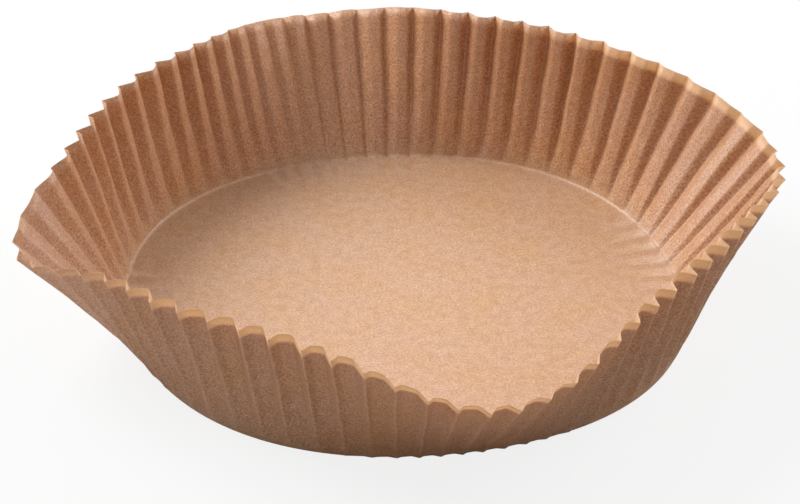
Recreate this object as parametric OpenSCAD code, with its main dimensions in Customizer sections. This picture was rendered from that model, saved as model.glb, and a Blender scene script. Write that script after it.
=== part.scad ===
/* [Base] */
// Diameter of the base, out to the corner where its plane and the wall would meet
base_d = 160; // [120:1:240]
// How far the rounded heel between base and wall reaches to either side of that corner
heel = 2.5; // [1:0.5:6]

/* [Wall] */
// Length of the wall along the paper, from the corner at the base to the rim
wall_length = 45; // [30:1:70]
// Lean of the wall away from upright where nothing has opened it further, in degrees
wall_lean = 15; // [8:1:30]

/* [Pleats] */
// Number of pleats round the wall
pleats = 72; // [40:1:84]
// Depth of the pleats at the rim, from their outer folds to their inner folds
pleat_depth = 3.1; // [1:0.1:5]

/* [Flare] */
// Directions in which the mouth has opened further, in degrees from +X
flare_at = [15, 105, 198, 226, 284]; // [0:1:359]
// Extra lean in each of these directions, in degrees
flare_lean = [24, 21.5, 26, 3, 25]; // [0:0.5:30]
// How far each flare spreads to either side, in degrees
flare_spread = [25, 17, 15, 12, 20]; // [8:1:60]

/* [Paper] */
// Thickness of the paper
paper_t = 0.06; // [0.05:0.01:0.15]

/* [Hidden] */
base_r = base_d / 2;

// One pleat across its width: the share of the pleat's width, then how far out of the wall's
// mean surface the paper stands, where 1 is the outer fold and -1 the inner fold
pleat_outline = [[0, 1], [0.09, 0.8], [0.41, -0.8], [0.5, -1], [0.59, -0.8], [0.91, 0.8]];
per_pleat = len(pleat_outline);
around = pleats * per_pleat;

// Distances from the base's corner, along the paper, at which the wall has a row of points:
// three round the heel, then the shares of the straight part above it. The pleats deepen
// fastest low down, so the rows are closer there.
straight_shares = [0.15, 0.45, 1];
rows = [-heel, 0, heel, for (share = straight_shares) heel + share * (wall_length - heel)];

// A difference between two directions, from -180 to 180 degrees
function turn(a) = (a % 360 + 540) % 360 - 180;

function sum(list, i = 0) = i < len(list) ? list[i] + sum(list, i + 1) : 0;

// Extra lean that flare number i gives the wall in direction a
function flare(a, i) = flare_lean[i] * exp(-pow(turn(a - flare_at[i]) / flare_spread[i], 2));

// Lean of the wall in direction a
function lean(a) = wall_lean + sum([for (i = [0 : len(flare_at) - 1]) flare(a, i)]);

// How much of the heel lies below distance s, from 0 at its start to 1 at its end
function turned(s) = min(max((s + heel) / (2 * heel), 0), 1);

// Length of the paper that stands along the wall at distance s, less what the heel cuts off
function risen(s) = heel * pow(turned(s), 2) + max(s - heel, 0);

// The wall's mean surface: its distance from the axis and its height over the base
function mean_r(a, s) = base_r - heel * pow(1 - turned(s), 2) + risen(s) * sin(lean(a));
function mean_z(a, s) = risen(s) * cos(lean(a));

// How far straight through the sheet points below level: 90 degrees on the base, and the
// wall's own lean above the heel
function tilt(a, s) = let(t = turned(s)) atan2(1 - t + t * sin(lean(a)), t * cos(lean(a)));

// The pleats grow from nothing in the middle of the heel
function depth(s) = pleat_depth * sqrt(max(s, 0) / wall_length);

// How many times longer the pleats' flanks are than the wall that they span. The flanks run
// slanting through the wall, so straight through it the sheet is thicker by as much.
function gathering(a, s) = sqrt(1 + pow(depth(s) * pleats / (PI * mean_r(a, s)), 2));

// A point at distance off from the mean surface, outwards if off is positive
function wall_point(a, s, off) = let(
    r = mean_r(a, s) + off * cos(tilt(a, s)),
    z = paper_t / 2 + mean_z(a, s) - off * sin(tilt(a, s))
) [r * cos(a), r * sin(a), z];

// The row of points round one face of the sheet: side is 1 outside and -1 inside
function ring(s, side) = [
    for (p = [0 : pleats - 1], q = pleat_outline)
        let(a = (p + q[0]) * 360 / pleats)
        wall_point(a, s, q[1] * depth(s) / 2 + side * paper_t / 2 * gathering(a, s))
];

// Number of a point in the liner's list. The outside rows come first, and column runs round.
function at(side, row, column) = ((side > 0 ? 0 : len(rows)) + row) * around + column % around;

function quad(a, b, c, d) = [[a, b, c], [a, c, d]];

module liner() {
    points = [
        for (side = [1, -1], s = rows) each ring(s, side),
        [0, 0, 0],
        [0, 0, paper_t]
    ];
    underside_centre = len(points) - 2;
    floor_centre = len(points) - 1;
    rim = len(rows) - 1;
    faces = [
        for (c = [0 : around - 1]) each [
            [underside_centre, at(1, 0, c), at(1, 0, c + 1)],
            [floor_centre, at(-1, 0, c + 1), at(-1, 0, c)],
            each quad(at(1, rim, c), at(-1, rim, c), at(-1, rim, c + 1), at(1, rim, c + 1)),
            for (row = [0 : rim - 1]) each concat(
                quad(at(1, row, c), at(1, row + 1, c), at(1, row + 1, c + 1), at(1, row, c + 1)),
                quad(at(-1, row, c), at(-1, row, c + 1), at(-1, row + 1, c + 1), at(-1, row + 1, c))
            )
        ]
    ];
    color("#c69d78") polyhedron(points, faces, convexity = 8);
}

liner();
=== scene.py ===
import math
import bmesh
import bpy
from mathutils import Euler, Matrix, Vector, noise


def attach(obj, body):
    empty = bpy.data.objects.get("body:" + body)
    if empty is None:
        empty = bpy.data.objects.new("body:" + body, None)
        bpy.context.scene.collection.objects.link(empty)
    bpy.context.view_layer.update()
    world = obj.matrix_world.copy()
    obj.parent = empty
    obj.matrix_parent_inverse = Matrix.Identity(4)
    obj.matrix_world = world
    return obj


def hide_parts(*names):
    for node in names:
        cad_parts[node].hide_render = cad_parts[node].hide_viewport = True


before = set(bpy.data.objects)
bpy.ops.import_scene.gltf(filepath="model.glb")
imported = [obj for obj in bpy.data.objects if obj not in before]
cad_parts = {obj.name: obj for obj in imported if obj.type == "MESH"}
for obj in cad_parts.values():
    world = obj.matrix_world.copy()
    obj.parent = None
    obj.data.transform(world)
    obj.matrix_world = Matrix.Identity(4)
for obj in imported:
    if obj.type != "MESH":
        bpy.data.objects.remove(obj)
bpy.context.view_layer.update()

# Liner
# One disc of unbleached greaseproof paper, pressed between two heated moulds. The moulds leave
# the middle flat as the base and fold the ring round it into an upright wall of pleats, which
# deepen from nothing at the base to the rim. Nothing is glued, so the mouth springs open.
MM = 0.001
BASE_R = 80.0
HEEL = 1.0
WALL_LENGTH = 45.0
WALL_LEAN = math.radians(15)
PLEATS = 72
PAPER_T = 0.06
SHEET_R = BASE_R + WALL_LENGTH
# Each flare: its direction, the extra lean it gives the wall, and how far it spreads
FLARES = [tuple(math.radians(v) for v in flare) for flare in (
    (15, 24, 25), (105, 21.5, 17), (198, 26, 15), (226, 3, 12), (284, 25, 20))]
# The mould's pleats are finer in some places and wider in others: this many degrees off an even
# spacing, as cosine and sine shares of each whole number of waves round the liner
CROWDING = ((-1.3, 0), (-0.75, 2.7), (-1.2, 2.15), (-0.57, 0.14), (1.43, -0.06), (-0.39, -0.15))
# The base is pulled out of round by this much, four times round
OUT_OF_ROUND = 1.3
OUT_OF_ROUND_AT = math.radians(57)
# One pleat from outer fold to outer fold: the shares of its width up to which its steep flank and
# the land beside it run. The pleats lean over most on the left, where the land slopes too.
STEEP_TO, LAND_TO = 0.18, 0.62
LEANS_MOST_AT = math.radians(190)
FOLD_SHARPNESS, FOLD_EDGE = 10.0, 0.05
# The steep flank reaches this share of the pleat's depth, from where the land slopes down to the
# rest, and this much less where the pleats lean over most
STEEP_SHARE, LEANING_LESS = 0.78, 0.2
# How far a fold is off its place, and wanders on its way up, with a pleat taken as a full turn
FOLD_OFF, FOLD_WANDERS = 0.45, 0.3
# Rounded folds take some of the depth, so the pleats are pressed this much deeper
DEPTH_SHARE = 1.04
# How uneven the wall's height and the pleats' depth are, as shares
HEIGHT_UNEVEN, DEPTH_UNEVEN = 0.008, 0.2
# The wall's small dents reach this depth at this distance up from the base
DENTS, DENTS_GROW_OVER = 0.2, 10
# The base swells up off the table by up to about this much, in lumps of this size
SWELL, SWELL_LUMP = 0.35, 34


def lean(a):
    extra = 0.0
    for at, most, spread in FLARES:
        turn = (a - at + math.pi) % (2 * math.pi) - math.pi
        extra += most * math.exp(-(turn / spread) ** 2)
    return WALL_LEAN + extra


def crowded(a):
    """The direction of the pleat that an even spacing would put in direction a."""
    return a + math.radians(sum(c * math.cos(k * a) + s * math.sin(k * a)
                                for k, (c, s) in enumerate(CROWDING)))


def uneven(a, s, size, number):
    """A smooth unevenness from -1 to 1, the same on every run, with lumps of about size mm."""
    at = Vector((SHEET_R * math.cos(a), SHEET_R * math.sin(a), s)) / size
    far_from_the_others = Vector((0, 0, 40 * number))
    return noise.noise(at + far_from_the_others)


def pleat_wave(a, s):
    """One on an outer fold, which is sharp, and -1 at the innermost part of the pleat."""
    turn = PLEATS * a + FOLD_OFF * uneven(a, 0, 14, 1) + FOLD_WANDERS * uneven(a, s, 11, 2)
    t = turn / (2 * math.pi) % 1
    rise = STEEP_SHARE - LEANING_LESS * math.cos(a - LEANS_MOST_AT)
    lines = (t * rise / STEEP_TO,
             rise + (t - STEEP_TO) * (1 - rise) / (LAND_TO - STEEP_TO),
             (1 - t) / (1 - LAND_TO))
    inwards = -math.log(sum(math.exp(-FOLD_SHARPNESS * line) for line in lines)) / FOLD_SHARPNESS
    return 1 - 2 * (math.hypot(inwards, FOLD_EDGE) - FOLD_EDGE)


def wall(a, s):
    """The wall without its pleats: a point of it, and how far below level straight out is."""
    t, slope = min((s + HEEL) / (2 * HEEL), 1), lean(a)
    risen = (HEEL * t * t + max(s - HEEL, 0)) * (1 + HEIGHT_UNEVEN * uneven(a, 0, 9, 3))
    r = BASE_R - HEEL * (1 - t) ** 2 + risen * math.sin(slope)
    r += OUT_OF_ROUND * math.cos(4 * (a - OUT_OF_ROUND_AT)) * (1 - max(s, 0) / WALL_LENGTH)
    down = math.atan2(1 - t + t * math.sin(slope), t * math.cos(slope))
    return Vector((r * math.cos(a), r * math.sin(a), risen * math.cos(slope))), down


def pleat_depth(even, s):
    """The paper that the ring has more than the wall needs goes into the depth of the pleats."""
    start, end = crowded(even - math.pi / PLEATS), crowded(even + math.pi / PLEATS)
    flat = (BASE_R + s) * (end - start) / 2
    width = (wall(end, s)[0] - wall(start, s)[0]).length / 2
    return DEPTH_SHARE * math.sqrt(max(flat ** 2 - width ** 2, 0))


def pressed(even, s):
    """Where the paper at distance s from the base's edge stands once the disc has been pressed."""
    a = crowded(even)
    if s <= -HEEL:
        flat = Vector((math.cos(a), math.sin(a), 0)) * (BASE_R + s)
        inward = (BASE_R + s) / (BASE_R - HEEL)
        r = BASE_R + s + OUT_OF_ROUND * math.cos(4 * (a - OUT_OF_ROUND_AT)) * inward ** 2
        swell = SWELL * (1 - inward ** 6) * (0.5 + 0.9 * noise.noise(flat / SWELL_LUMP))
        return Vector((r * math.cos(a), r * math.sin(a), max(swell, 0)))
    place, down = wall(a, s)
    grown = min(max(s, 0) / DENTS_GROW_OVER, 1)
    off = pleat_wave(even, s) * pleat_depth(even, max(s, 0)) / 2
    off *= 1 + DEPTH_UNEVEN * uneven(a, s / 3, 12, 4)
    off += DENTS * grown * uneven(a, s, 7, 5)
    place += off * Vector((math.cos(down) * math.cos(a), math.cos(down) * math.sin(a), -math.sin(down)))
    place.z = max(place.z, 0)
    return place


# One spoke of the flat disc, from its centre to its edge, is spun into the whole disc
STEPS_IN_PLEAT = 20
FLOOR_RINGS = 6
HEEL_RINGS = 8
WALL_RINGS = 16
spoke = [(BASE_R - HEEL) * i / FLOOR_RINGS for i in range(FLOOR_RINGS + 1)]
spoke += [BASE_R - HEEL + 2 * HEEL * i / HEEL_RINGS for i in range(1, HEEL_RINGS + 1)]
spoke += [BASE_R + HEEL + (WALL_LENGTH - HEEL) * i / WALL_RINGS for i in range(1, WALL_RINGS + 1)]
bm = bmesh.new()
points = [bm.verts.new((r, 0, 0)) for r in spoke]
edges = [bm.edges.new(pair) for pair in zip(points, points[1:])]
bmesh.ops.spin(bm, geom=points + edges, cent=(0, 0, 0), axis=(0, 0, 1), angle=2 * math.pi,
               steps=PLEATS * STEPS_IN_PLEAT, use_merge=True)
bmesh.ops.remove_doubles(bm, verts=bm.verts, dist=1e-4)
bmesh.ops.recalc_face_normals(bm, faces=bm.faces)
if sum(face.normal.z for face in bm.faces) < 0:
    bmesh.ops.reverse_faces(bm, faces=bm.faces)

# The steps crowd towards the outer folds, which are the sharpest
STEP_CROWDING = 0.4
for vert in bm.verts:
    turn = math.remainder(PLEATS * math.atan2(vert.co.y, vert.co.x), 2 * math.pi)
    vert.co.rotate(Matrix.Rotation(-STEP_CROWDING * math.sin(turn) / PLEATS, 3, "Z"))

# The flat disc is the paper's own map, so that its fibres bend with it. A second map marks where
# a highlight is painted along the outer folds: from this part of the wave outwards, and fully so
# at this distance up from the base.
FOLD_HIGHLIGHT_FROM = 0.6
FOLD_HIGHLIGHT_GROWS_OVER = 4
uv = bm.loops.layers.uv.new("sheet")
fold_highlight = bm.verts.layers.float.new("fold_highlight")
for face in bm.faces:
    face.smooth = True
    for loop in face.loops:
        a, r = crowded(math.atan2(loop.vert.co.y, loop.vert.co.x)), loop.vert.co.length
        loop[uv].uv = (0.5 + r * math.cos(a) / SHEET_R / 2, 0.5 + r * math.sin(a) / SHEET_R / 2)
for vert in bm.verts:
    even, s = math.atan2(vert.co.y, vert.co.x), vert.co.length - BASE_R
    sharp = max(pleat_wave(even, s) - FOLD_HIGHLIGHT_FROM, 0) / (1 - FOLD_HIGHLIGHT_FROM)
    vert[fold_highlight] = sharp * min(max(s, 0) / FOLD_HIGHLIGHT_GROWS_OVER, 1)
    vert.co = pressed(even, s) + Vector((0, 0, PAPER_T / 2))
bmesh.ops.scale(bm, vec=(MM, MM, MM), verts=bm.verts)
mesh = bpy.data.meshes.new("liner_paper")
bm.to_mesh(mesh)
bm.free()
liner = bpy.data.objects.new("liner_paper", mesh)
bpy.context.scene.collection.objects.link(liner)
skin = liner.modifiers.new("thickness", "SOLIDIFY")
skin.thickness = PAPER_T * MM
skin.offset = 0


def linear(hex_colour):
    """The linear colour of an sRGB hex value."""
    parts = [int(hex_colour[i:i + 2], 16) / 255 for i in (1, 3, 5)]
    return tuple(c / 12.92 if c <= 0.04045 else ((c + 0.055) / 1.055) ** 2.4 for c in parts) + (1,)


def add(tree, kind, settings=None, inputs=None, links=None):
    """Adds a node with its settings, its plain inputs and what is linked into it."""
    node = tree.nodes.new(kind)
    for name, value in (settings or {}).items():
        setattr(node, name, value)
    for socket, value in (inputs or {}).items():
        node.inputs[socket].default_value = value
    for socket, source in (links or {}).items():
        tree.links.new(source, node.inputs[socket])
    return node


# Unbleached greaseproof paper, calendered: long brown fibres beaten to a dense, slightly
# translucent sheet. It gives the eye a warm tan with fine darker and lighter fibres, faint
# clouds where the pulp lay thicker, a dull surface and an orange glow where light comes through.
paper = bpy.data.materials.new("greaseproof_kraft_paper")
paper.use_nodes = True
tree = paper.node_tree
tree.nodes.clear()
sheet = add(tree, "ShaderNodeUVMap", {"uv_map": "sheet"})
# The sheet's map in mm from its centre, so that the sizes below are real ones
middle = add(tree, "ShaderNodeVectorMath", {"operation": "SUBTRACT"},
             {1: (0.5, 0.5, 0)}, {0: sheet.outputs["UV"]})
in_mm = add(tree, "ShaderNodeVectorMath", {"operation": "SCALE"},
            {"Scale": 2 * SHEET_R}, {0: middle.outputs[0]})
where = in_mm.outputs[0]
# Fibres are some 0.03 mm wide. They are drawn in tufts of 0.65 mm, the finest that shows here.
TUFT_MM, CLOUD_MM, BLOTCH_MM, SHIVE_MM = 0.65, 3.0, 16.0, 1.1
tufts = add(tree, "ShaderNodeTexNoise", links={"Vector": where},
            inputs={"Scale": 1 / TUFT_MM, "Detail": 3, "Roughness": 0.75})
clouds = add(tree, "ShaderNodeTexNoise", links={"Vector": where},
             inputs={"Scale": 1 / CLOUD_MM, "Detail": 3, "Roughness": 0.6})
blotches = add(tree, "ShaderNodeTexNoise", links={"Vector": where},
               inputs={"Scale": 1 / BLOTCH_MM, "Detail": 3, "Roughness": 0.55})
# Pressing has opened the surface of the wall, so the fibres stand out more there
from_centre = add(tree, "ShaderNodeVectorMath", {"operation": "LENGTH"}, links={0: where})
on_wall = add(tree, "ShaderNodeMapRange", {"interpolation_type": "SMOOTHSTEP"},
              {"From Min": BASE_R, "From Max": BASE_R + 5, "To Min": 1, "To Max": 1.65},
              {"Value": from_centre.outputs["Value"]})
level = add(tree, "ShaderNodeMath", {"operation": "SUBTRACT"}, {1: 0.5}, {0: tufts.outputs["Fac"]})
contrast = add(tree, "ShaderNodeMath", {"operation": "MULTIPLY_ADD"}, {2: 0.5},
               {0: level.outputs[0], 1: on_wall.outputs[0]})
tone = add(tree, "ShaderNodeValToRGB", links={"Fac": contrast.outputs[0]})
tone.color_ramp.elements[0].position = 0.1
tone.color_ramp.elements[0].color = linear("#72492b")
tone.color_ramp.elements[1].position = 0.84
tone.color_ramp.elements[1].color = linear("#eecda9")
middle_tone = tone.color_ramp.elements.new(0.5)
middle_tone.color = linear("#cba283")
cloud_share = add(tree, "ShaderNodeMapRange", inputs={"From Min": 0.35, "From Max": 0.7, "To Max": 0.55},
                  links={"Value": clouds.outputs["Fac"]})
clouded = add(tree, "ShaderNodeMix", {"data_type": "RGBA", "blend_type": "MULTIPLY"}, {7: linear("#dfccb6")},
              {0: cloud_share.outputs["Result"], 6: tone.outputs["Color"]})
blotch_share = add(tree, "ShaderNodeMapRange", inputs={"From Min": 0.4, "From Max": 0.7},
                   links={"Value": blotches.outputs["Fac"]})
blotched = add(tree, "ShaderNodeMix", {"data_type": "RGBA", "blend_type": "MULTIPLY"}, {7: linear("#fffae6")},
               {0: blotch_share.outputs["Result"], 6: clouded.outputs[2]})
# A few uncooked splinters of wood stay in the pulp as short dark specks
shives = add(tree, "ShaderNodeTexNoise", links={"Vector": where},
             inputs={"Scale": 1 / SHIVE_MM, "Detail": 1, "Distortion": 1.5})
shive_share = add(tree, "ShaderNodeMapRange", inputs={"From Min": 0.74, "From Max": 0.8, "To Max": 0.45},
                  links={"Value": shives.outputs["Fac"]})
specked = add(tree, "ShaderNodeMix", {"data_type": "RGBA"}, {7: linear("#6b4630")},
              {0: shive_share.outputs["Result"], 6: blotched.outputs[2]})
# Painted shade: the wall is painted a little darker and browner than the base, for the dimmer,
# warmer light inside the wall
wall_shade_share = add(tree, "ShaderNodeMapRange", {"interpolation_type": "SMOOTHSTEP"},
                  {"From Min": BASE_R + 1, "From Max": BASE_R + 8},
                  {"Value": from_centre.outputs["Value"]})
wall_shaded = add(tree, "ShaderNodeMix", {"data_type": "RGBA", "blend_type": "MULTIPLY"}, {7: linear("#fef3ee")},
              {0: wall_shade_share.outputs["Result"], 6: specked.outputs[2]})
# Painted highlights: the outer folds are painted paler for the light they catch, and the base's
# edge very faintly paler for the lamp's gloss on the curved heel
FOLD_HIGHLIGHT, HEEL_HIGHLIGHT = 0.1, 0.03
fold_highlight_mask = add(tree, "ShaderNodeAttribute", {"attribute_name": "fold_highlight"})
near_heel = add(tree, "ShaderNodeMapRange", {"interpolation_type": "SMOOTHSTEP"},
                {"From Min": BASE_R + 3, "From Max": BASE_R}, {"Value": from_centre.outputs["Value"]})
off_floor = add(tree, "ShaderNodeMapRange", {"interpolation_type": "SMOOTHSTEP"},
                {"From Min": BASE_R - 3, "From Max": BASE_R - 0.5, "To Max": HEEL_HIGHLIGHT},
                {"Value": from_centre.outputs["Value"]})
heel_highlight_share = add(tree, "ShaderNodeMath", {"operation": "MULTIPLY"},
                 links={0: near_heel.outputs[0], 1: off_floor.outputs[0]})
highlight_share = add(tree, "ShaderNodeMath", {"operation": "MULTIPLY_ADD"},
                   {1: FOLD_HIGHLIGHT}, {0: fold_highlight_mask.outputs["Fac"], 2: heel_highlight_share.outputs[0]})
highlighted = add(tree, "ShaderNodeMix", {"data_type": "RGBA"}, {7: linear("#ecd5c2")},
              {0: highlight_share.outputs[0], 6: wall_shaded.outputs[2]})
# Along the rim runs a paler band, 3 mm wide: painted light for the glow where light shines
# through the single sheet of the rim, mostly left out round the back left
RIM_GLOW_AT = math.radians(-45)
RIM_GLOW_PALER = 0.55
rim_glow = add(tree, "ShaderNodeMapRange", {"interpolation_type": "SMOOTHSTEP"},
               {"From Min": SHEET_R - 3.6, "From Max": SHEET_R - 2.4},
               {"Value": from_centre.outputs["Value"]})
side = add(tree, "ShaderNodeVectorMath", {"operation": "DOT_PRODUCT"},
           {1: (math.cos(RIM_GLOW_AT) / SHEET_R, math.sin(RIM_GLOW_AT) / SHEET_R, 0)}, {0: where})
rim_glow_side = add(tree, "ShaderNodeMapRange", {"interpolation_type": "SMOOTHSTEP"},
           {"From Min": -0.55, "From Max": 0.1, "To Min": 0.15}, {"Value": side.outputs["Value"]})
rim_glow = add(tree, "ShaderNodeMath", {"operation": "MULTIPLY"},
               links={0: rim_glow.outputs[0], 1: rim_glow_side.outputs[0]})
rim_glow_share = add(tree, "ShaderNodeMath", {"operation": "MULTIPLY"}, {1: RIM_GLOW_PALER}, {0: rim_glow.outputs[0]})
rim_glowing = add(tree, "ShaderNodeMix", {"data_type": "RGBA"}, {7: linear("#f0d8ba")},
             {0: rim_glow_share.outputs[0], 6: highlighted.outputs[2]})
grain = add(tree, "ShaderNodeBump", inputs={"Strength": 0.35, "Distance": 0.04 * MM},
            links={"Height": tufts.outputs["Fac"]})
surface = add(tree, "ShaderNodeBsdfPrincipled", inputs={"Roughness": 0.47, "IOR": 1.6},
              links={"Base Color": rim_glowing.outputs[2], "Normal": grain.outputs["Normal"]})
let_through = add(tree, "ShaderNodeMix", {"data_type": "RGBA"},
                  {6: linear("#eec090"), 7: linear("#f4d4a6")}, {0: rim_glow.outputs[0]})
through = add(tree, "ShaderNodeBsdfTranslucent",
              links={"Color": let_through.outputs[2], "Normal": grain.outputs["Normal"]})
# The wall lets a little light through, and its last few mm more, along the painted rim glow
RIM_LETS_THROUGH = 0.24
up_wall = add(tree, "ShaderNodeMapRange", {"interpolation_type": "SMOOTHSTEP"},
              {"From Min": SHEET_R - 34, "From Max": SHEET_R, "To Min": 0.08, "To Max": 0.18},
              {"Value": from_centre.outputs["Value"]})
through_share = add(tree, "ShaderNodeMath", {"operation": "MULTIPLY_ADD"},
                    {1: RIM_LETS_THROUGH}, {0: rim_glow.outputs[0], 2: up_wall.outputs[0]})
both = add(tree, "ShaderNodeMixShader",
           links={0: through_share.outputs[0], 1: surface.outputs[0], 2: through.outputs[0]})
add(tree, "ShaderNodeOutputMaterial", links={"Surface": both.outputs[0]})
mesh.materials.append(paper)

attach(liner, "root")
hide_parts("liner")

# Table
# A plain, matt, nearly white top that the liner stands on, big enough to fill the picture
TABLE_SIZE = 6.0
bm = bmesh.new()
bmesh.ops.create_grid(bm, x_segments=1, y_segments=1, size=TABLE_SIZE / 2)
table_mesh = bpy.data.meshes.new("table")
bm.to_mesh(table_mesh)
bm.free()
table = bpy.data.objects.new("table", table_mesh)
bpy.context.scene.collection.objects.link(table)
white = bpy.data.materials.new("matt_white_top")
white.use_nodes = True
tree = white.node_tree
tree.nodes.clear()
top = add(tree, "ShaderNodeBsdfDiffuse", inputs={"Color": linear("#d9d9d9")})
glow = add(tree, "ShaderNodeEmission", inputs={"Color": (1, 1, 1, 1), "Strength": 1})
rays = add(tree, "ShaderNodeLightPath")
# The camera sees the top nearly white, with the liner's shadow kept
SEEN_WHITE = 0.84
share = add(tree, "ShaderNodeMath", {"operation": "MULTIPLY"}, {1: SEEN_WHITE},
            {0: rays.outputs["Is Camera Ray"]})
top_seen = add(tree, "ShaderNodeMixShader",
               links={0: share.outputs[0], 1: top.outputs[0], 2: glow.outputs[0]})
add(tree, "ShaderNodeOutputMaterial", links={"Surface": top_seen.outputs[0]})
table_mesh.materials.append(white)

# Light
# One large soft lamp stands high on the left and a little behind, so that the right wall's inside
# is bright and the left wall lies in shade. Two weaker ones on the right and behind fill it.
world = bpy.data.worlds.new("studio")
bpy.context.scene.world = world
world.use_nodes = True
sky = world.node_tree
sky.nodes.clear()
rays = add(sky, "ShaderNodeLightPath")
# The sky lights the paper weakly, but is white where it is seen, mirrored or seen through
FILL = 0.25
seen = add(sky, "ShaderNodeMath", {"operation": "MAXIMUM"},
           links={0: rays.outputs["Is Camera Ray"], 1: rays.outputs["Is Glossy Ray"]})
seen = add(sky, "ShaderNodeMath", {"operation": "MAXIMUM"},
           links={0: seen.outputs[0], 1: rays.outputs["Is Transmission Ray"]})
strength = add(sky, "ShaderNodeMix", {"data_type": "FLOAT"}, {2: FILL, 3: 1.0}, {0: seen.outputs[0]})
light = add(sky, "ShaderNodeBackground", inputs={"Color": (1, 1, 1, 1)},
            links={"Strength": strength.outputs[0]})
add(sky, "ShaderNodeOutputWorld", links={"Surface": light.outputs[0]})

LAMP_DISTANCE = 1.1
# Each lamp: its direction round the liner, its rise, its width in metres and its watts
for name, around, rise, width, watts in (
        ("key", 152, 42, 0.8, 15), ("fill", 32, 27, 0.9, 8), ("rear", 90, 45, 0.9, 2)):
    lamp_data = bpy.data.lights.new(name, "AREA")
    lamp_data.shape = "DISK"
    lamp_data.size = width
    lamp_data.energy = watts
    lamp = bpy.data.objects.new(name, lamp_data)
    bpy.context.scene.collection.objects.link(lamp)
    lamp.location = Vector((LAMP_DISTANCE, 0, 0))
    lamp.location.rotate(Euler((0, -math.radians(rise), math.radians(around))))
    lamp.rotation_euler = (-lamp.location).to_track_quat("-Z", "Y").to_euler()

# Camera
# A long lens looks down at the liner from the front
CAMERA_RISE = math.radians(31.81)
CAMERA_ROLL = math.radians(0.667)
CAMERA_DISTANCE = 0.8524
AIM = Vector((-0.0012, 0.00647, 0.01043))
LENS = 135
camera_data = bpy.data.cameras.new("camera")
camera_data.lens = LENS
camera_data.sensor_width = 36
camera = bpy.data.objects.new("camera", camera_data)
bpy.context.scene.collection.objects.link(camera)
facing = Euler((math.pi / 2 - CAMERA_RISE, 0, 0)).to_matrix() @ Matrix.Rotation(CAMERA_ROLL, 3, "Z")
camera.rotation_euler = facing.to_euler()
camera.location = AIM + facing @ Vector((0, 0, CAMERA_DISTANCE))
bpy.context.scene.camera = camera
bpy.context.scene.view_settings.view_transform = "Standard"
